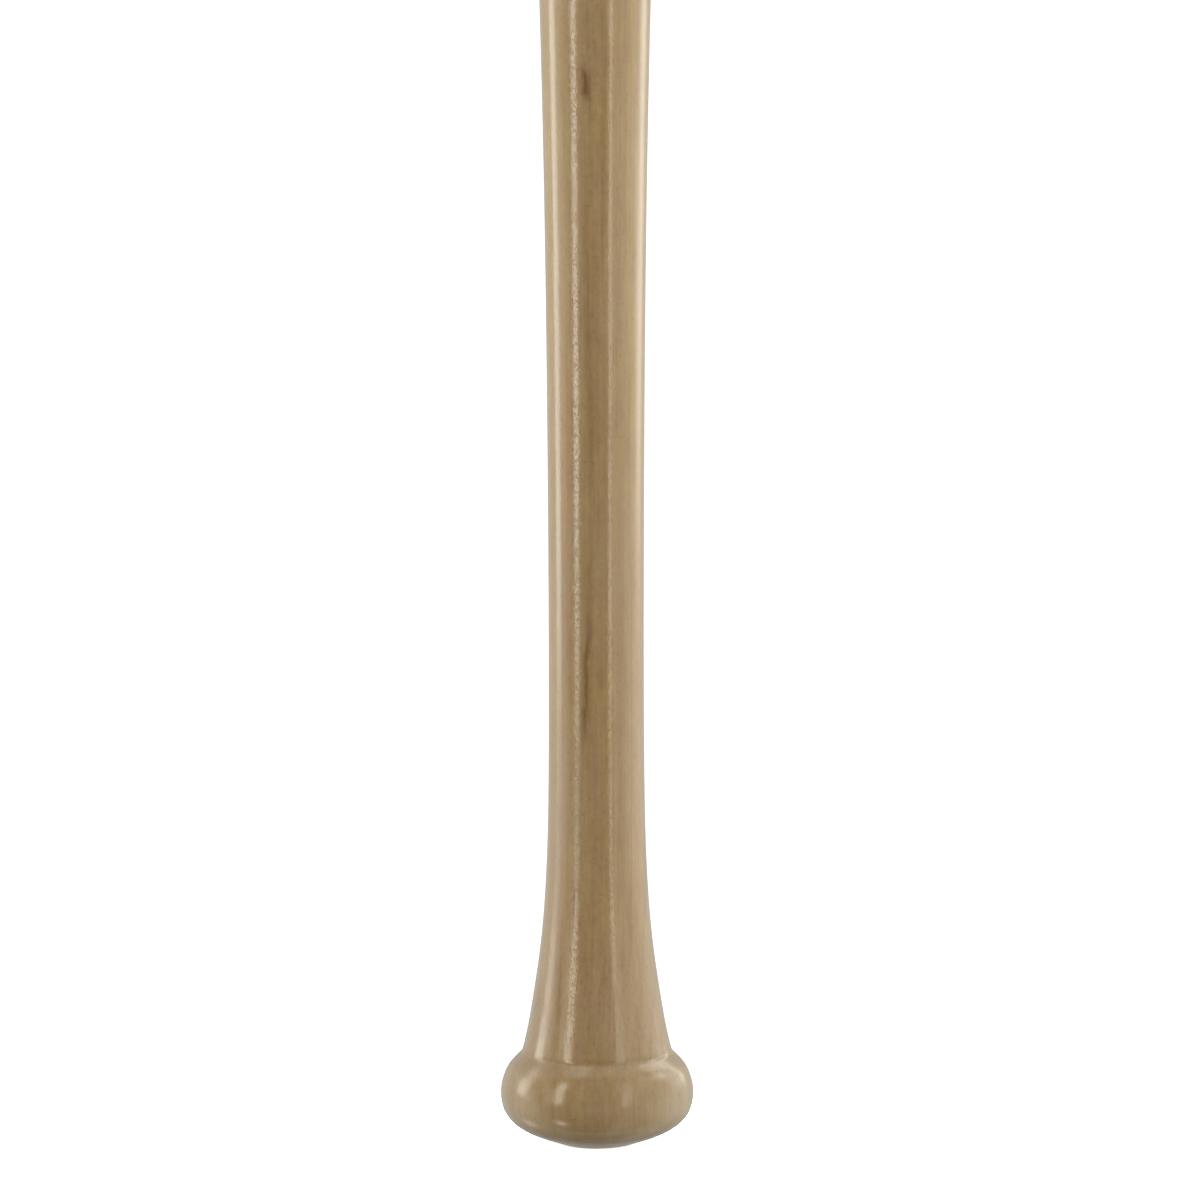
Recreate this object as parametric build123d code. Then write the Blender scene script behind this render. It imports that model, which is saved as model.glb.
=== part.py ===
from build123d import *
import math
import os

# One-piece turned wooden baseball bat, standing on its knob, in millimetres.
# +Z runs along the bat from the knob to the barrel. The origin is the centre of the knob's
# flat bottom.
#
# Two pieces of material:
#   turned_billet - the whole wooden body: knob, flare, handle, taper, barrel and cupped end
#   lacquer_coat  - the closed clear film that covers every wood surface

# ---------------------------------------------------------------- overall
LENGTH = 838.2             # 33 inches, knob bottom to barrel end, film included
COAT_T = 0.20              # lacquer film thickness

# ---------------------------------------------------------------- knob and crease
REST_R = 10.0              # flat spot under the knob
KNOB_R = 25.4
KNOB_WIDEST_Z = 13.222     # height of the knob's widest ring
KNOB_START_DEG = 15.0      # slope of the shallow dome where it leaves the flat
KNOB_START_PULL = 1.14     # radial reach of the dome's first control point
KNOB_TOP = (20.346, 23.749)   # (radius, height) where the knob runs into the crease
CREASE_TOP_R = 19.573      # where the crease ends and the handle's flare starts
CREASE_TOP_Z = 25.084
CREASE_END_PULL = 0.503    # height of the crease's last control handle
FLARE_SLOPE = -0.2623      # change of radius per height at the start of the flare

# Bezier control points, (radius, height)
KNOB_LOWER = [             # up to the widest ring
    (REST_R, 0.0),
    (REST_R + KNOB_START_PULL, KNOB_START_PULL * math.tan(math.radians(KNOB_START_DEG))),
    (17.675, 3.106),
    (KNOB_R, 3.550),
    (KNOB_R, KNOB_WIDEST_Z),
]
KNOB_UPPER = [             # from the widest ring to the crease
    (KNOB_R, KNOB_WIDEST_Z),
    (KNOB_R, 17.019),
    (23.362, 20.541),
    (23.971, 20.180),
    KNOB_TOP,
]
CREASE = [
    KNOB_TOP,
    (19.975, 24.114),
    (CREASE_TOP_R - CREASE_END_PULL * FLARE_SLOPE, CREASE_TOP_Z - CREASE_END_PULL),
    (CREASE_TOP_R, CREASE_TOP_Z),
]

# ---------------------------------------------------------------- handle to barrel
# turning template for the flare, handle, taper and barrel: (height, radius)
TEMPLATE = [
    (CREASE_TOP_Z, CREASE_TOP_R),
    (26.2, 19.280), (28.5, 18.723), (31.5, 18.102), (35.5, 17.378),
    (41.0, 16.495), (48.0, 15.449), (57.0, 14.361), (68.0, 13.489),
    (82.0, 12.873), (100.0, 12.561),
    (120.0, 12.456),       # thinnest station of the handle
    (142.0, 12.458), (166.0, 12.540), (192.0, 12.697), (218.0, 12.926),
    (244.0, 13.252), (270.0, 13.708), (300.0, 14.428), (335.0, 15.558),
    (372.0, 17.096), (410.0, 19.013), (448.0, 21.185), (486.0, 23.462),
    (524.0, 25.661), (562.0, 27.616), (600.0, 29.219), (640.0, 30.480),
    (680.0, 31.306), (720.0, 31.719),
    (752.0, 31.750),       # widest station of the barrel
    (785.0, 31.560), (815.0, 31.170),
]

# ---------------------------------------------------------------- cupped barrel end
END_SLOPE = -0.0150        # change of radius per height where the barrel starts to round over
ROUND_START_PULL = 14.0    # height of the round-over's first control handle
ROUND_END_PULL = 5.2       # radial length of its last control handle
CUP_R = 19.0
CUP_DEPTH = 20.0
CUP_LIP_R = 1.5            # rounded lip of the cup
END_FLAT_OUTER_R = 22.5    # ring of end grain round the cup
END_FLAT_INNER_R = CUP_R + CUP_LIP_R
QUARTER_PULL = 0.5523      # Bezier handle length for a quarter ellipse, per semi-axis

# spans each outline edge is divided into when it is set in; 0 keeps it a straight line
INSET_SPANS = [
    0,            # rest flat
    24, 24, 10,   # lower knob, upper knob, crease
    90,           # flare to barrel
    24,           # round-over
    0,            # end flat
    8, 24,        # cup lip, cup
]


def fair_spline(points, start, end):
    """A smooth curve through the points, with the given directions at its two ends."""
    points = [Vector(point) for point in points]
    run = [0.0]            # chord length up to each point
    for before, after in zip(points, points[1:]):
        run.append(run[-1] + (after - before).length)
    return Edge.make_spline(
        points,
        tangents=[Vector(start).normalized(), Vector(end).normalized()],
        parameters=run,
        scale=False,
    )


def outline():
    """Edges of the finished half outline, from the knob's axis point to the cup's axis point."""
    barrel_z, barrel_r = TEMPLATE[-1]
    lip_z = LENGTH - CUP_LIP_R
    cup_floor_z = LENGTH - CUP_DEPTH
    return [
        Edge.make_line((0, 0), (REST_R, 0)),
        Edge.make_bezier(*KNOB_LOWER),
        Edge.make_bezier(*KNOB_UPPER),
        Edge.make_bezier(*CREASE),
        fair_spline([(r, z) for z, r in TEMPLATE], (FLARE_SLOPE, 1), (END_SLOPE, 1)),
        Edge.make_bezier(
            (barrel_r, barrel_z),
            (barrel_r + ROUND_START_PULL * END_SLOPE, barrel_z + ROUND_START_PULL),
            (END_FLAT_OUTER_R + ROUND_END_PULL, LENGTH),
            (END_FLAT_OUTER_R, LENGTH),
        ),
        Edge.make_line((END_FLAT_OUTER_R, LENGTH), (END_FLAT_INNER_R, LENGTH)),
        Edge.make_bezier(
            (END_FLAT_INNER_R, LENGTH),
            (END_FLAT_INNER_R - QUARTER_PULL * CUP_LIP_R, LENGTH),
            (CUP_R, lip_z + QUARTER_PULL * CUP_LIP_R),
            (CUP_R, lip_z),
        ),
        Edge.make_bezier(
            (CUP_R, lip_z),
            (CUP_R, lip_z - QUARTER_PULL * (lip_z - cup_floor_z)),
            (QUARTER_PULL * CUP_R, cup_floor_z),
            (0, cup_floor_z),
        ),
    ]


def inward(edge, along):
    """Unit normal into the wood, which lies to the left of the outline's direction."""
    tangent = edge.tangent_at(along)
    return Vector(-tangent.Y, tangent.X, 0)


def inset(edges, depth):
    """The same half outline set in by depth, measured square to the surface."""
    corners = [Vector(0, depth, 0)]
    for before, after in zip(edges, edges[1:]):
        normal = inward(before, 1)
        mitre = (normal + inward(after, 0)).normalized()
        corners.append(after.position_at(0) + mitre * (depth / mitre.dot(normal)))
    corners.append(edges[-1].position_at(1) + Vector(0, -depth, 0))

    inset_edges = []
    for edge, spans, start, end in zip(edges, INSET_SPANS, corners, corners[1:]):
        if spans == 0:
            inset_edges.append(Edge.make_line(start, end))
            continue
        middle = [
            edge.position_at(i / spans) + inward(edge, i / spans) * depth
            for i in range(1, spans)
        ]
        inset_edges.append(
            fair_spline([start] + middle + [end], edge.tangent_at(0), edge.tangent_at(1))
        )
    return inset_edges


def turned(edges):
    """Turns a half outline (X = radius, Y = height) about the bat's axis."""
    low = edges[0].position_at(0)
    high = edges[-1].position_at(1)
    face = Face(Wire(edges + [Edge.make_line(high, low)]))
    upright = Plane(origin=(0, 0, 0), x_dir=(1, 0, 0), z_dir=(0, -1, 0))
    return Solid.revolve(upright.from_local_coords(face), 360.0, Axis.Z)


def make_turned_billet():
    return turned(inset(outline(), COAT_T))


def make_lacquer_coat(billet):
    """The finished bat with the wood taken out."""
    return (Part() + turned(outline())) - billet


turned_billet = make_turned_billet()
pieces = {
    "turned_billet": turned_billet,
    "lacquer_coat": make_lacquer_coat(turned_billet),
}
os.makedirs("parts", exist_ok=True)
for name, shape in pieces.items():
    export_step(shape, f"parts/{name}.step")
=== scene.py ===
"""A clear-lacquered, one-piece wooden baseball bat in a plain white studio.

The bat stands on its knob with its axis on Z. The camera looks at it from -Y, with +X on the right.
"""
import math

import bpy
import numpy as np
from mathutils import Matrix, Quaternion, Vector


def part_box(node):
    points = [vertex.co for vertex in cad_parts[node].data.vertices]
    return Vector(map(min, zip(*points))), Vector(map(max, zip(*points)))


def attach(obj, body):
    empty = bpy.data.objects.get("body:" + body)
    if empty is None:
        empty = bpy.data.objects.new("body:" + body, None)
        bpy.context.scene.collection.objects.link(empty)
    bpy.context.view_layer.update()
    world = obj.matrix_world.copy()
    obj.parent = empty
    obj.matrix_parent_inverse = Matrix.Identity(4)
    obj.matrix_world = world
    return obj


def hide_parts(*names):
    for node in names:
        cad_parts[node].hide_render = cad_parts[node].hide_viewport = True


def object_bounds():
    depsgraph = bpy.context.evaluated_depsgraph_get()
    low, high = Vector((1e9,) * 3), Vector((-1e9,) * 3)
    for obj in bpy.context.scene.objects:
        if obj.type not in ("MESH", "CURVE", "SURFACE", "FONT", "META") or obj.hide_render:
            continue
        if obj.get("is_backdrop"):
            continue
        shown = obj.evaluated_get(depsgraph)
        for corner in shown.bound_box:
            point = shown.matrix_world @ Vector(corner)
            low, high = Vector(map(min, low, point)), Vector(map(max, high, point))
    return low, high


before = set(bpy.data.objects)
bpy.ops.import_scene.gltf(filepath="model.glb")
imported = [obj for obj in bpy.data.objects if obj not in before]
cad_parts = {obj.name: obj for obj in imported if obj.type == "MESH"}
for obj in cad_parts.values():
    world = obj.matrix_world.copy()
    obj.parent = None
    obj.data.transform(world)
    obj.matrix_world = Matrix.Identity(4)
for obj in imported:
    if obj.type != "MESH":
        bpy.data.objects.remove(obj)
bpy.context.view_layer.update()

# ---------------------------------------------------------------- outline of the bat, in millimetres
LENGTH = 838.2
CUP_FLOOR = 818.2
KNOB_FLAT = 10.0           # radius of the flat under the knob
KNOB = 25.4                # radius of the knob
CREASE_TOP = 25.084        # height at which the knob's crease meets the handle
BODY_TOP = 815.0
BORE = 19.0                # radius of the cup's wall

# Control points of the Bezier curves: (radius, height)
KNOB_LOWER = [(KNOB_FLAT, 0.0), (11.14, 0.3055), (17.675, 3.106), (KNOB, 3.550), (KNOB, 13.222)]
KNOB_UPPER = [
    (KNOB, 13.222), (KNOB, 17.019), (23.362, 20.541), (23.971, 20.180), (20.346, 23.749),
]
CREASE = [(20.346, 23.749), (19.975, 24.114), (19.705, 24.581), (19.573, CREASE_TOP)]
END_OVER = [(31.170, BODY_TOP), (30.960, 829.0), (27.7, LENGTH), (22.5, LENGTH)]
LIP = [(20.5, LENGTH), (19.672, LENGTH), (BORE, 837.528), (BORE, 836.7)]
CUP = [(BORE, 836.7), (BORE, 826.482), (10.494, CUP_FLOOR), (0.0, CUP_FLOOR)]

# Turning template of the handle and barrel: (height, radius)
TEMPLATE = np.array([
    (CREASE_TOP, 19.573), (26.2, 19.280), (28.5, 18.723), (31.5, 18.102), (35.5, 17.378),
    (41.0, 16.495), (48.0, 15.449), (57.0, 14.361), (68.0, 13.489), (82.0, 12.873),
    (100.0, 12.561), (120.0, 12.456), (142.0, 12.458), (166.0, 12.540), (192.0, 12.697),
    (218.0, 12.926), (244.0, 13.252), (270.0, 13.708), (300.0, 14.428), (335.0, 15.558),
    (372.0, 17.096), (410.0, 19.013), (448.0, 21.185), (486.0, 23.462), (524.0, 25.661),
    (562.0, 27.616), (600.0, 29.219), (640.0, 30.480), (680.0, 31.306), (720.0, 31.719),
    (752.0, 31.750), (785.0, 31.560), (BODY_TOP, 31.170),
])
CREASE_SLOPE, END_SLOPE = -0.2623, -0.015    # radius per height at the template's two ends

SEGMENTS = 160
# Widths in metres: a film box near the nominal width keeps the template's own radii.
NOMINAL_WIDTH = 0.0635
FITTED_WIDTH = 0.06353
WIDTH_TOLERANCE = 0.004


def bezier(points, steps):
    """steps + 1 points along a Bezier curve."""
    points = np.array(points, float)
    degree = len(points) - 1
    along = np.linspace(0, 1, steps + 1)
    return sum(
        math.comb(degree, i) * ((1 - along) ** (degree - i) * along**i)[:, None] * points[i]
        for i in range(degree + 1)
    )


def clamped_spline(heights, radii, start_slope, end_slope, at):
    """Radii at the heights in at, on the cubic spline with the given end slopes."""
    gap = np.diff(heights)
    slope = np.diff(radii) / gap
    count = len(heights)
    system, target = np.zeros((count, count)), np.zeros(count)
    system[0, :2] = 2 * gap[0], gap[0]
    target[0] = 6 * (slope[0] - start_slope)
    system[-1, -2:] = gap[-1], 2 * gap[-1]
    target[-1] = 6 * (end_slope - slope[-1])
    for i in range(1, count - 1):
        system[i, i - 1:i + 2] = gap[i - 1], 2 * (gap[i - 1] + gap[i]), gap[i]
        target[i] = 6 * (slope[i] - slope[i - 1])
    bend = np.linalg.solve(system, target)
    k = np.clip(np.searchsorted(heights, at, side="right") - 1, 0, count - 2)
    span, above, below = gap[k], heights[k + 1] - at, at - heights[k]
    return (
        bend[k] * above**3 / (6 * span) + bend[k + 1] * below**3 / (6 * span)
        + (radii[k] / span - bend[k] * span / 6) * above
        + (radii[k + 1] / span - bend[k + 1] * span / 6) * below
    )


def profile():
    """Rings (radius, height) from under the knob, up the outside, over the end and into the cup."""
    heights = np.concatenate([
        np.arange(CREASE_TOP, 60, 1.0), np.arange(60, 330, 2.0), np.arange(330, BODY_TOP, 2.4),
        [BODY_TOP],
    ])
    radii = clamped_spline(*TEMPLATE.T, CREASE_SLOPE, END_SLOPE, heights)
    return np.vstack([
        np.c_[np.linspace(0, KNOB_FLAT, 9)[1:-1], np.zeros(7)],
        bezier(KNOB_LOWER, 52),
        bezier(KNOB_UPPER, 26)[1:],
        bezier(CREASE, 12)[1:],
        np.c_[radii, heights][1:],
        bezier(END_OVER, 34)[1:],
        np.c_[[21.8, 21.1], [LENGTH, LENGTH]],    # the flat rim
        bezier(LIP, 8),
        bezier(CUP, 34)[1:-1],
    ])


def add_mesh(name, verts, faces):
    mesh = bpy.data.meshes.new(name)
    mesh.from_pydata(verts, [], faces)
    obj = bpy.data.objects.new(name, mesh)
    bpy.context.scene.collection.objects.link(obj)
    return obj


def bat_mesh(name):
    """The outline turned round Z, and fitted to the box of the CAD model's lacquer film."""
    rings = profile()
    lo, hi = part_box("lacquer_coat")
    width = hi.x - lo.x
    height_scale = (hi.z - lo.z) / LENGTH
    near_nominal = abs(width / NOMINAL_WIDTH - 1) < WIDTH_TOLERANCE
    width_scale = 1.0 if near_nominal else width / FITTED_WIDTH

    angles = np.arange(SEGMENTS) * (2 * math.pi / SEGMENTS)
    radii = rings[:, 0] * (0.001 * width_scale)
    heights = rings[:, 1] * height_scale + lo.z
    walls = np.stack([
        np.outer(radii, np.cos(angles)),
        np.outer(radii, np.sin(angles)),
        np.repeat(heights[:, None], SEGMENTS, 1),
    ], -1).reshape(-1, 3)
    verts = np.vstack([walls, [[0, 0, lo.z], [0, 0, CUP_FLOOR * height_scale + lo.z]]])

    count = len(radii)
    bottom, cup = count * SEGMENTS, count * SEGMENTS + 1
    last = (count - 1) * SEGMENTS
    faces = []
    for i in range(SEGMENTS):
        j = (i + 1) % SEGMENTS
        faces.append((bottom, j, i))
        for k in range(count - 1):
            lower, upper = k * SEGMENTS, (k + 1) * SEGMENTS
            faces.append((lower + i, lower + j, upper + j, upper + i))
        faces.append((cup, last + i, last + j))
    obj = add_mesh(name, verts.tolist(), faces)
    mesh = obj.data
    mesh.validate()
    mesh.polygons.foreach_set("use_smooth", [True] * len(mesh.polygons))
    mesh.update()
    return obj


# ---------------------------------------------------------------- shader formulas
class Value:
    """A node's output that formulas can be written with: each operator adds one Math node."""

    def __init__(self, graph, socket):
        self.graph = graph
        self.socket = socket

    def math(self, operation, other=None):
        return self.graph.math(operation, self, other)

    def __add__(self, other):
        return self.math("ADD", other)

    def __radd__(self, number):
        return self.graph.math("ADD", number, self)

    def __sub__(self, number):
        return self + -number

    def __mul__(self, other):
        return self.math("MULTIPLY", other)

    def __truediv__(self, other):
        return self.math("DIVIDE", other)

    def sway(self, amount):
        """A 0 to 1 pattern turned into a swing about zero."""
        return (self - 0.5) * amount

    def step(self, start, end, before=0.0, after=1.0):
        """Smooth step from before, at start, to after, at end."""
        return self.graph.value("ShaderNodeMapRange", {
            "Value": self, "From Min": start, "From Max": end, "To Min": before, "To Max": after,
        }, interpolation_type="SMOOTHSTEP")

    def bell(self, centre, width):
        """exp(-((self - centre) / width)^2)"""
        offset = self.math("SUBTRACT", centre) / width
        return (offset * offset * -1.0).math("EXPONENT")

    def ramp(self, stops):
        """Colour ramp with stops (position, grey or colour)."""
        node = self.graph.node("ShaderNodeValToRGB", {0: self})
        elements = node.color_ramp.elements
        while len(elements) < len(stops):
            elements.new(0.5)
        for element, (position, _) in zip(elements, stops):
            element.position = position
        for element, (_, colour) in zip(elements, stops):
            rgb = colour if isinstance(colour, tuple) else (colour,) * 3
            element.color = (*rgb, 1)
        return Value(self.graph, node.outputs[0])


class Graph:
    """The emptied node tree of a material or world."""

    def __init__(self, owner):
        owner.use_nodes = True
        self.tree = owner.node_tree
        self.tree.nodes.clear()

    def put(self, socket, value):
        if isinstance(value, Value):
            self.tree.links.new(value.socket, socket)
        elif isinstance(value, tuple) and socket.type == "RGBA":
            socket.default_value = (*value, 1)
        else:
            socket.default_value = value

    def node(self, kind, inputs=None, **props):
        node = self.tree.nodes.new(kind)
        for key, setting in props.items():
            setattr(node, key, setting)
        for key, value in (inputs or {}).items():
            self.put(node.inputs[key], value)
        return node

    def value(self, kind, inputs=None, output=0, **props):
        return Value(self, self.node(kind, inputs, **props).outputs[output])

    def math(self, operation, first, second=None):
        inputs = {0: first} if second is None else {0: first, 1: second}
        return self.value("ShaderNodeMath", inputs, operation=operation)

    def separate(self, vector):
        node = self.node("ShaderNodeSeparateXYZ", {0: vector})
        return [Value(self, output) for output in node.outputs]

    def coordinates(self, output="Object"):
        """x, y and z of the shaded place, which noise() then follows too."""
        self.place = self.value("ShaderNodeTexCoord", output=output)
        return self.separate(self.place)

    def raw_noise(self, vector, detail, rough=0.5, output="Fac"):
        return self.value("ShaderNodeTexNoise", {
            "Vector": vector, "Scale": 1.0, "Detail": detail, "Roughness": rough,
        }, output)

    def noise(self, xy, z, detail=2.0, rough=0.5, output="Fac"):
        """Noise at scale xy across Z and scale z along it."""
        scaled = self.value("ShaderNodeVectorMath", {0: self.place, 1: (xy, xy, z)},
                            operation="MULTIPLY")
        return self.raw_noise(scaled, detail, rough, output)

    def mix(self, factor, first, second, blend="MIX"):
        """Colour mix; 6 and 7 are the Mix node's colour inputs, 2 its colour output."""
        return self.value("ShaderNodeMix", {"Factor": factor, 6: first, 7: second}, 2,
                          data_type="RGBA", blend_type=blend)

    def mix_shader(self, factor, first, second):
        return self.value("ShaderNodeMixShader", {0: factor, 1: first, 2: second})

    def bump(self, height, distance):
        return self.value("ShaderNodeBump", {
            "Strength": 1.0, "Distance": distance, "Height": height,
        })

    def finish(self, shader, kind="Material"):
        self.node("ShaderNodeOutput" + kind, {"Surface": shader})


def bearing(x, y):
    """Angle round Z in radians: 0 towards the camera, positive towards +X."""
    return x.math("ARCTAN2", y * -1.0)


def radius(x, y):
    return (x * x + y * y).math("SQRT")


# ---------------------------------------------------------------- lacquered hardwood
EARLY_WOOD = (0.517, 0.335, 0.154)
LATE_WOOD = (0.376, 0.219, 0.090)
STREAK_BROWN = (0.200, 0.086, 0.028)
# The next colour paints shade into the knob's crease.
END_GRAIN = (0.62, 0.50, 0.40)
CREASE_SHADE = (0.55, 0.42, 0.30)
RING_WIDTH = 0.00235

# Share of late wood through one year: (phase, amount)
YEAR = [
    (0.0, 0.55), (0.04, 0.10), (0.35, 0.0), (0.74, 0.18), (0.90, 0.62), (0.97, 1.0), (1.0, 0.55),
]

# Mineral streaks: bearing in degrees, middle height, half length, half width, sideways lean.
STRONG_STREAKS = [
    (-12.7, 0.1235, 0.0120, 0.00100, -0.036),
    (-11.0, 0.2800, 0.0034, 0.00125, 0.09),
    (-26.0, 0.0660, 0.0042, 0.00030, 0.0),
    (150.0, 0.455, 0.020, 0.00055, -0.010),
    (76.0, 0.640, 0.013, 0.00050, 0.012),
]
FAINT_STREAKS = [
    (8.5, 0.256, 0.026, 0.00060, -0.006),
    (-8.0, 0.205, 0.030, 0.00075, 0.010),
    (100.0, 0.330, 0.050, 0.00080, 0.004),
    (-130.0, 0.560, 0.040, 0.00080, 0.006),
]
BROAD_STREAK = (-9.8, 0.1475, 0.0085, 0.00130, -0.02)
KNOB_STREAK = (15.0, 0.0350, 0.0080, 0.00032, -0.038)

# Painted shade up the handle, darkest on the knob where less light reaches near the floor: (height,
# colour)
TINT_SPAN = 0.40
LOW_SHADE_TINT = [
    (0.0, (0.804, 0.800, 0.796)), (0.0245, (0.804, 0.800, 0.796)),
    (0.0300, (0.835, 0.812, 0.845)), (0.0480, (0.850, 0.828, 0.860)),
    (0.0700, (0.900, 0.885, 0.905)), (0.1500, (0.925, 0.912, 0.918)),
    (0.2200, (0.985, 0.985, 0.980)), (0.3000, (1.0, 1.0, 1.0)), (TINT_SPAN, (1.0, 1.0, 1.0)),
]


def growth_rings(graph, x, y, z):
    """Late wood amount, a random tone for each year, and ray flecks."""
    # The grain wanders a little over the bat's length.
    warp_x, warp_y, _ = graph.separate(graph.noise(xy=9.0, z=2.2, output="Color"))
    # The pith is 260 mm towards -X, at a slight slope to the bat's axis.
    pith_x = x + warp_x.sway(0.006) + 0.260 + z * 0.005
    pith_y = y + warp_y.sway(0.006) - 0.020 + z * -0.004
    pith_distance = radius(pith_x, pith_y)
    year = (pith_distance + graph.noise(xy=60, z=5).sway(0.0009)) / RING_WIDTH
    # Two slow waves make the years differ in width.
    year = (year + (pith_distance * 610.0).math("SINE") * 0.33
            + (pith_distance * 257.0).math("SINE") * 0.55)
    late = year.math("FRACT").ramp(YEAR)
    year_tone = graph.value("ShaderNodeTexWhiteNoise", {"W": year.math("FLOOR")}, "Value",
                            noise_dimensions="1D")
    # Ray flecks are thin plates that run from the pith outwards.
    ray_place = graph.value("ShaderNodeCombineXYZ", {
        0: pith_distance * 700.0, 1: pith_y.math("ARCTAN2", pith_x) * 420.0, 2: z * 900.0,
    })
    rays = graph.raw_noise(ray_place, detail=1.0).step(0.60, 0.72)
    return late, year_tone, rays


def mineral_streaks(graph, x, y, z):
    """Amount of the short, thin, brown streaks along the grain."""

    def streak(degrees, middle, half_length, half_width, lean):
        cos, sin = math.cos(math.radians(degrees)), math.sin(math.radians(degrees))
        offset = z - middle
        across = x * cos + y * sin + offset * lean + graph.noise(xy=5, z=90).sway(0.0006)
        facing = (x * sin + y * -cos).step(0.004, 0.008)    # only on this side of the bat
        length = (offset.bell(0.0, half_length) * 1.6).math("MINIMUM", 1.0)
        return across.bell(0.0, half_width) * length * facing

    long, short, thin, back, side = [streak(*row) for row in STRONG_STREAKS]
    low, high, right, left = [streak(*row) for row in FAINT_STREAKS]
    faint = ((low + high + right + left) * 0.30 + streak(*BROAD_STREAK) * 0.26
             + streak(*KNOB_STREAK) * 0.42)
    total = (long * 0.84 + short + thin + back + side + faint).math("MINIMUM", 1.0)
    beads = graph.noise(xy=900, z=190, rough=0.6)
    return total * beads.step(0.30, 0.58, before=0.30)


def lacquered_wood(name):
    mat = bpy.data.materials.new(name)
    graph = Graph(mat)
    x, y, z = graph.coordinates()
    late, year_tone, rays = growth_rings(graph, x, y, z)

    # Fibres and pores, drawn out along the grain.
    fine_fibre = graph.noise(xy=1500, z=14, detail=3.0, rough=0.6)
    fibre = graph.noise(xy=420, z=4.5, detail=3.0, rough=0.55)
    broad_fibre = graph.noise(xy=150, z=2.2)
    pores = graph.noise(xy=3600, z=150, detail=1.0).step(0.66, 0.74)
    # Tone changes, from broad to fine.
    tone = graph.noise(xy=26, z=3.2)
    cloud = graph.noise(xy=70, z=22, detail=3.0, rough=0.6)
    blotch = graph.noise(xy=340, z=95, rough=0.55)
    mottle = graph.noise(xy=600, z=420)
    fleck = graph.noise(xy=1100, z=420, rough=0.6)
    # The middle of the camera side, above the knob, is more mottled.
    face = (x.bell(centre=-0.0005, width=0.0042) * y.step(-0.006, -0.002, before=1.0, after=0.0)
            * z.step(0.026, 0.034))

    broken_line = graph.noise(xy=240, z=7).step(0.35, 0.62, before=0.25)
    wood = graph.mix(late * broken_line * (0.20 + year_tone * 0.34), EARLY_WOOD, LATE_WOOD)
    shade = (
        1.0 + fine_fibre.sway(0.30) + fibre.sway(0.26) + broad_fibre.sway(0.16)
        + tone.sway(0.22) + cloud.sway(0.14) + fleck.sway(0.16) + blotch.sway(0.20)
        + mottle.sway(face) * 0.27 + year_tone.sway(0.05) + pores * -0.10 + rays * -0.085
    )
    colour = graph.value("ShaderNodeHueSaturation", {
        "Color": wood,
        "Value": shade,
        "Saturation": 1.0 + cloud.sway(-0.25),
        "Hue": 0.5 + tone.sway(0.012) + blotch.sway(0.026),
    })
    colour = graph.mix(mineral_streaks(graph, x, y, z) * 0.80, colour, STREAK_BROWN)

    # End grain (under the knob, on the barrel's rim and in the cup) drinks finish and goes darker.
    normal = graph.value("ShaderNodeNewGeometry", output="Normal")
    flatness = graph.separate(normal)[2].math("ABSOLUTE")
    colour = graph.mix(flatness.step(0.45, 0.98) * 0.34, colour, END_GRAIN, "MULTIPLY")
    # Painted shade: a thin darker band along the knob's crease.
    crease = z.bell(centre=0.0248, width=0.0007) * 0.20
    colour = graph.mix(crease, colour, CREASE_SHADE, "MULTIPLY")
    # Painted shade: the knob and the flare are darkened, less and less up the handle, for the dimmer
    # light near the floor.
    tint = (z / TINT_SPAN).ramp([(height / TINT_SPAN, rgb) for height, rgb in LOW_SHADE_TINT])
    colour = graph.mix(1.0, colour, tint, "MULTIPLY")

    # Fine duller grains in the handle's film, mostly on two bands left and right of the front.
    turn = bearing(x, y) * 57.2958
    worn = turn.bell(centre=-24.0, width=10.0) + turn.bell(centre=16.5, width=5.0) * 0.5 + 0.22
    dust = (
        graph.noise(xy=1250, z=1150, detail=1.0).step(0.48, 0.63) * worn
        * z.step(0.0225, 0.0300, after=0.80)
        * z.step(0.060, 0.110, before=1.0, after=1.15)
        * z.step(0.300, 0.360, before=1.0, after=0.0) * 0.21
    )
    knob_dull = z.step(0.0215, 0.0245, before=0.050, after=0.0)
    # Orange peel at two sizes, weaker on the knob, with a trace of the grain.
    peel = graph.noise(xy=1500, z=1400, detail=1.0)
    broad_peel = graph.noise(xy=420, z=300, detail=1.0)
    calm = z.step(0.0225, 0.0330, before=0.45)
    film = peel * calm * 0.46 + broad_peel * calm * 0.28 + fibre * 0.16

    graph.finish(graph.value("ShaderNodeBsdfPrincipled", {
        "Base Color": colour,
        "Roughness": 0.46 + fibre.sway(0.16),
        "Specular IOR Level": 0.12,
        "Coat Weight": 1.0,
        "Coat IOR": 1.5,
        "Coat Roughness": 0.070 + dust + knob_dull + graph.noise(xy=90, z=30) * 0.03,
        "Coat Normal": graph.bump(film, distance=0.000060),
        "Normal": graph.bump(fine_fibre + pores * -0.8, distance=0.00003),
    }))
    return mat


bat = bat_mesh("lacquered_billet")
bat.data.materials.append(lacquered_wood("lacquered_hardwood"))
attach(bat, "root")
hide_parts("turned_billet", "lacquer_coat")

# ---------------------------------------------------------------- studio world
SOFT_LEVEL = 0.65
SIDE_TINT = (0.995, 1.035, 1.0)
GLOSS_TINT = (0.98, 1.01, 0.96)
RAMP_SCALE = 0.25    # keeps the panels' radiances below 1 inside the ramp

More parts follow.
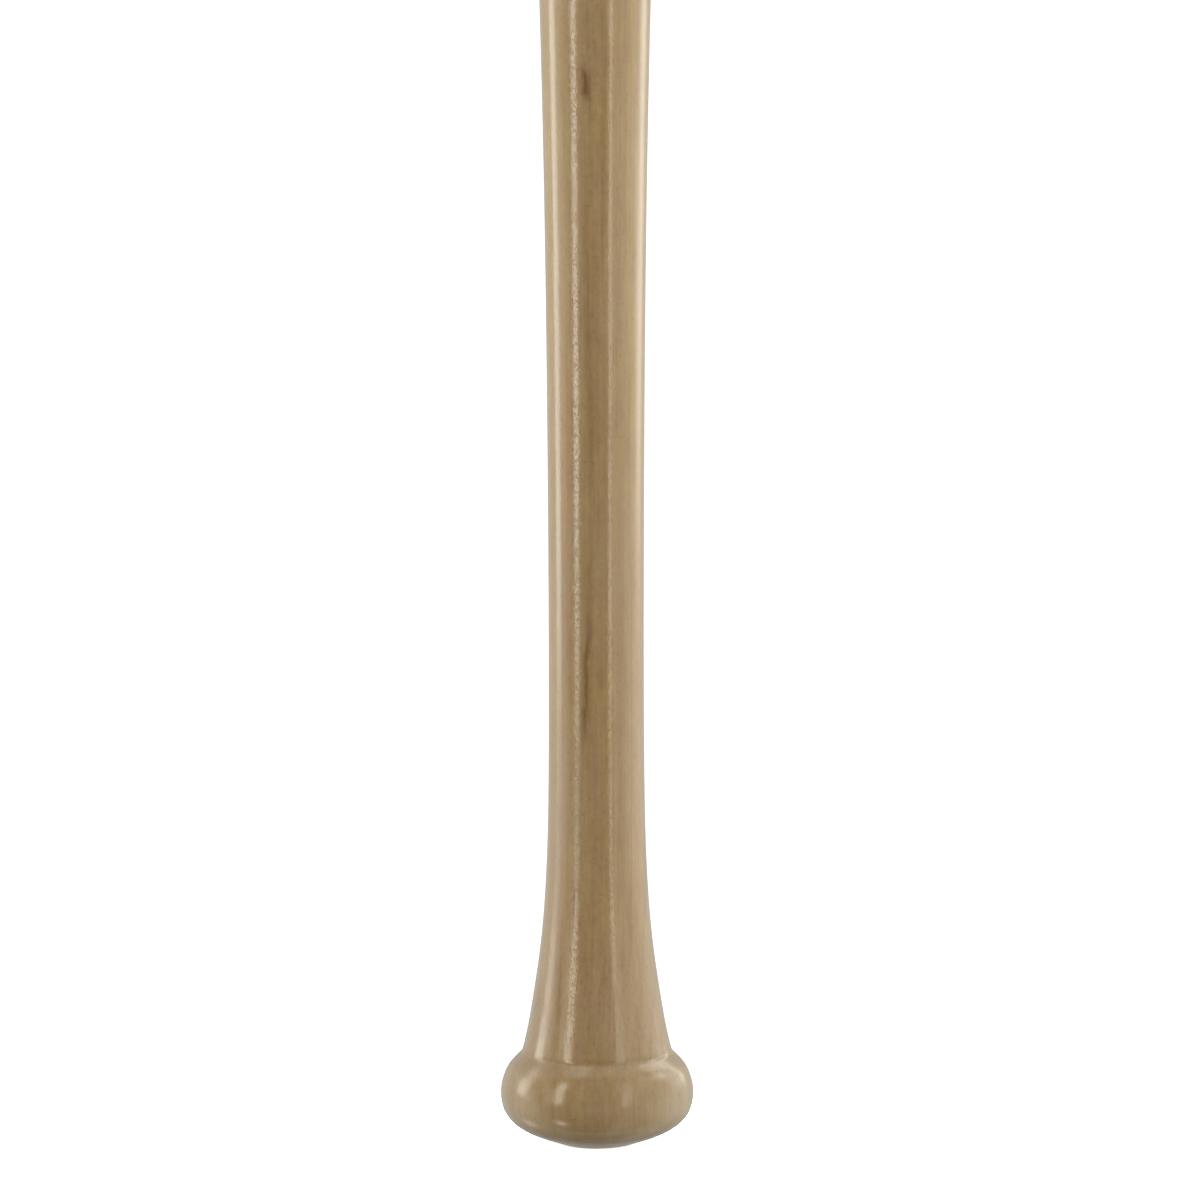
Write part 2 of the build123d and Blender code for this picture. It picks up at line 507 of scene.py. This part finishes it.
# Panels round the bat: (bearing in degrees, radiance)
PANELS = [
    (-180, 0.38), (-170, 0.45), (-155, 0.70), (-138, 0.80), (-122, 1.00), (-90, 1.20), (-80, 1.00),
    (-72, 0.64), (-62, 0.46), (-54, 0.30), (-36, 0.22), (-29, 0.10), (-18, 0.00), (15, 0.02),
    (24, 0.30), (30, 0.80), (37, 0.88), (50, 1.00), (72, 1.30), (90, 1.60), (112, 1.60),
    (132, 1.10), (146, 0.78), (160, 0.60), (172, 0.45), (180, 0.38),
]
# Soft patches: (bearing, elevation, width, height, radiance), the first four in degrees
PATCHES = [
    (118, 25, 20, 13, 1.00), (106, 36, 9, 7, 2.60), (72, 12, 20, 13, -0.40),
    (-88, 20, 7, 12, -0.80), (-72, 36, 14, 14, -0.40), (-111, 38, 12, 9, 2.00),
    (-112, 16, 16, 10, 0.40), (-100, -14, 16, 14, 0.60), (-117, -42, 14, 8, 1.60),
    (-55, -45, 8, 7, 4.30), (-50, 42, 9, 8, 0.90), (-22, 34, 8, 22, 0.45),
    (29, -14, 8, 13, -1.00), (20, 34, 7, 20, -0.60), (41, 22, 6, 18, 1.60),
    (48, -50, 12, 9, 0.60), (140, -52, 30, 8, 0.30), (-58, 74, 34, 11, 2.10),
    (70, 74, 45, 12, 0.40), (0, 80, 60, 8, 0.70), (80, 46, 7, 7, 0.80),
    (82, 27, 8, 6, -0.70), (92, 18, 10, 8, -0.35), (-61, 14, 6, 12, 0.85),
    (-64, 4, 7, 7, 0.45), (33, 4, 5, 10, -0.60), (-90, 8, 6, 12, 0.80),
    (-71, 7, 8, 9, -0.80), (-40, 36, 6, 8, -0.80), (30, 62, 14, 9, -0.50),
    (0, 10, 5, 14, 0.25),
]


def gloss_light(x, y, z):
    """Radiance that the gloss reflects from direction x, y, z."""
    azimuth = bearing(x, y) * (180 / math.pi)
    elevation = z.math("ARCSINE") * (180 / math.pi)
    stops = [((angle + 180) / 360, level * RAMP_SCALE) for angle, level in PANELS]
    light = (
        ((azimuth + 180.0) / 360.0).ramp(stops) / RAMP_SCALE
        * elevation.step(-50.0, -18.0, before=0.50)
        * elevation.step(26.0, 56.0, before=1.0, after=0.60)
    )
    for angle, rise, width, height, level in PATCHES:
        light = light + azimuth.bell(angle, width) * elevation.bell(rise, height) * level
    # A long thin bank behind the bat on the right, rising towards the camera, and its upright.
    off_bank = elevation - 36.5 + (azimuth - 129.0) * 0.80
    light = light + (
        off_bank.bell(centre=0.0, width=4.2) * azimuth.step(90.0, 110.0)
        * azimuth.step(130.0, 139.0, before=1.0, after=0.0) * 2.9
    )
    light = light + (
        azimuth.bell(centre=135.0, width=4.5) * elevation.step(-4.0, 8.0)
        * elevation.step(26.0, 34.0, before=1.0, after=0.0) * 1.5
    )
    return light.math("MAXIMUM", 0.0)


def studio_world():
    """White for the camera, soft wrap-round light for the wood, and panels for the gloss."""
    world = bpy.data.worlds.new("studio")
    bpy.context.scene.world = world
    world.cycles.sampling_method = "NONE"
    graph = Graph(world)
    x, y, z = graph.coordinates("Generated")

    def background(colour, strength):
        return graph.value("ShaderNodeBackground", {0: colour, 1: strength})

    # Soft light: brighter from both sides and above than from the front and back.
    soft = (0.59 + x * x * 1.48 + x * 0.10 + z * 0.45) * SOFT_LEVEL
    soft_tint = graph.mix(x.math("ABSOLUTE").step(0.2, 0.9), (1.0, 1.0, 1.0), SIDE_TINT)
    paths = graph.node("ShaderNodeLightPath").outputs
    unseen = graph.mix_shader(Value(graph, paths["Is Glossy Ray"]), background(soft_tint, soft),
                              background(GLOSS_TINT, gloss_light(x, y, z)))
    seen = background((1.0, 1.0, 1.0), 1.0)
    graph.finish(graph.mix_shader(Value(graph, paths["Is Camera Ray"]), unseen, seen), "World")


# ---------------------------------------------------------------- lights that only gloss picks up
STRIP_DISTANCE = 0.60
STRIP_TOP = 1.45


def square(name, half):
    verts = [(-half, -half, 0), (half, -half, 0), (half, half, 0), (-half, half, 0)]
    return add_mesh(name, verts, [(0, 1, 2, 3)])


def glow_material(obj):
    """An empty emitting material on obj; returns its graph."""
    mat = bpy.data.materials.new(obj.name)
    graph = Graph(mat)
    mat.cycles.emission_sampling = "NONE"
    obj.data.materials.append(mat)
    return graph


def finish_glow(obj, graph, strength, tint=(1.0, 1.0, 1.0)):
    """Add the light to whatever lies behind it, and hide obj from all but glossy rays."""
    graph.finish(graph.value("ShaderNodeAddShader", {
        0: graph.value("ShaderNodeEmission", {0: tint, 1: strength}),
        1: graph.value("ShaderNodeBsdfTransparent"),
    }))
    for rays in ("camera", "diffuse", "transmission", "volume_scatter", "shadow"):
        setattr(obj, "visible_" + rays, False)
    obj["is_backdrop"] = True


def strip(name, azimuth, half_angle, soft_angle, radiance, fade_in, foot, tint, steep,
          level=1.0, grain=0.0):
    """A tall soft strip light facing the bat; angles in degrees.

    It starts at height foot and fades in between the two heights of fade_in. Rays that climb
    see it at the lower or higher level, and lose it between the two angles of steep. grain
    mottles its cloth, which the coat's peel breaks into sparkle.
    """
    turn = math.radians(azimuth)
    half = STRIP_DISTANCE * math.tan(math.radians(half_angle + soft_angle))
    inner = STRIP_DISTANCE * math.tan(math.radians(max(half_angle - soft_angle, 0.0)))
    verts = [(-half, 0, foot), (half, 0, foot), (half, 0, STRIP_TOP), (-half, 0, STRIP_TOP)]
    obj = add_mesh(name, verts, [(0, 1, 2, 3)])
    obj.location = (STRIP_DISTANCE * math.sin(turn), -STRIP_DISTANCE * math.cos(turn), 0)
    obj.rotation_euler = (0, 0, turn)

    graph = glow_material(obj)
    x, y, z = graph.coordinates()
    incoming = graph.value("ShaderNodeNewGeometry", output="Incoming")
    climb = graph.separate(incoming)[2] * -1.0

    def climb_step(start, end, after):
        return climb.step(math.sin(math.radians(start)), math.sin(math.radians(end)),
                          before=1.0, after=after)

    cloth = graph.noise(xy=45.0, z=75.0, detail=1.0)
    strength = (
        x.math("ABSOLUTE").step(inner, half, before=1.0, after=0.0)
        * z.step(*fade_in) * climb_step(*steep, after=0.0) * climb_step(-4, 10, after=level)
        * cloth.step(0.34, 0.66, before=1.0 - grain, after=1.0 + grain) * radiance
    )
    finish_glow(obj, graph, strength, tint)


def floor_glow():
    """The lit floor in front of the knob: dark by the contact, and faint a long way off."""
    obj = square("floor_glow", half=0.7)
    obj.location.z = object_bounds()[0].z - 0.0001
    graph = glow_material(obj)
    x, y, z = graph.coordinates()
    distance = radius(x, y)
    front = bearing(x, y).bell(centre=0.1, width=0.55)
    strength = (distance.step(0.040, 0.085)
                * distance.step(0.30, 0.60, before=1.0, after=0.0) * front * 0.45)
    finish_glow(obj, graph, strength)


studio_world()
strip("strip_left_front", azimuth=-47.0, half_angle=6.0, soft_angle=2.6, radiance=6.0,
      fade_in=(-0.055, 0.115), foot=-0.10, tint=(1.0, 0.99, 0.90), steep=(30, 50),
      level=0.80, grain=0.60)
strip("strip_left_side", azimuth=-102.0, half_angle=8.5, soft_angle=4.5, radiance=3.70,
      fade_in=(-0.022, 0.095), foot=-0.06, tint=(1.0, 1.0, 0.93), steep=(8, 42),
      level=1.04, grain=0.15)
strip("strip_right_front", azimuth=33.2, half_angle=3.4, soft_angle=1.6, radiance=3.9,
      fade_in=(-0.068, 0.060), foot=-0.10, tint=(1.0, 0.97, 0.84), steep=(8, 36),
      level=0.42, grain=0.55)
strip("strip_right_back", azimuth=121.0, half_angle=11.0, soft_angle=11.0, radiance=2.4,
      fade_in=(0.03, 0.16), foot=0.0, tint=(1.0, 0.98, 0.93), steep=(2, 18))
floor_glow()


# ---------------------------------------------------------------- floor
NEAR_FLOOR = (5.4, 6.8, 9.2)    # lifts and cools the contact shadow
FAR_FLOOR = (1.45, 1.45, 1.45)


def add_floor():
    """A wide sheet that takes the bat's soft contact shadow; clear when seen from below."""
    obj = square("floor", half=60)
    mat = bpy.data.materials.new("floor_sheet")
    graph = Graph(mat)
    x, y, z = graph.coordinates()
    colour = graph.mix(radius(x, y).step(0.030, 0.085), NEAR_FLOOR, FAR_FLOOR)
    graph.finish(graph.mix_shader(
        graph.value("ShaderNodeNewGeometry", output="Backfacing"),
        graph.value("ShaderNodeBsdfDiffuse", {"Color": colour}),
        graph.value("ShaderNodeBsdfTransparent"),
    ))
    obj.data.materials.append(mat)
    obj.location.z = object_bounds()[0].z - 0.00005
    obj.visible_glossy = False
    obj.visible_diffuse = False
    obj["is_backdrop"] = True


add_floor()

# ---------------------------------------------------------------- camera
CAMERA_PLACE = (0.0, -2.030, 0.414)
CAMERA_AIM = Vector((0.0010, 0.0, 0.14407))
CAMERA_ROLL = -0.105    # degrees

lens = bpy.data.cameras.new("camera")
camera = bpy.data.objects.new("camera", lens)
scene = bpy.context.scene
scene.collection.objects.link(camera)
scene.camera = camera
lens.sensor_width = 36.0
lens.lens = 234.93
lens.clip_start, lens.clip_end = 0.05, 200.0
camera.location = CAMERA_PLACE
camera.rotation_mode = "QUATERNION"
look = (CAMERA_AIM - camera.location).to_track_quat("-Z", "Y")
camera.rotation_quaternion = look @ Quaternion((0, 0, 1), math.radians(CAMERA_ROLL))

scene.view_settings.view_transform = "Standard"
scene.view_settings.look = "None"
scene.view_settings.exposure = 0.0
scene.view_settings.gamma = 1.0
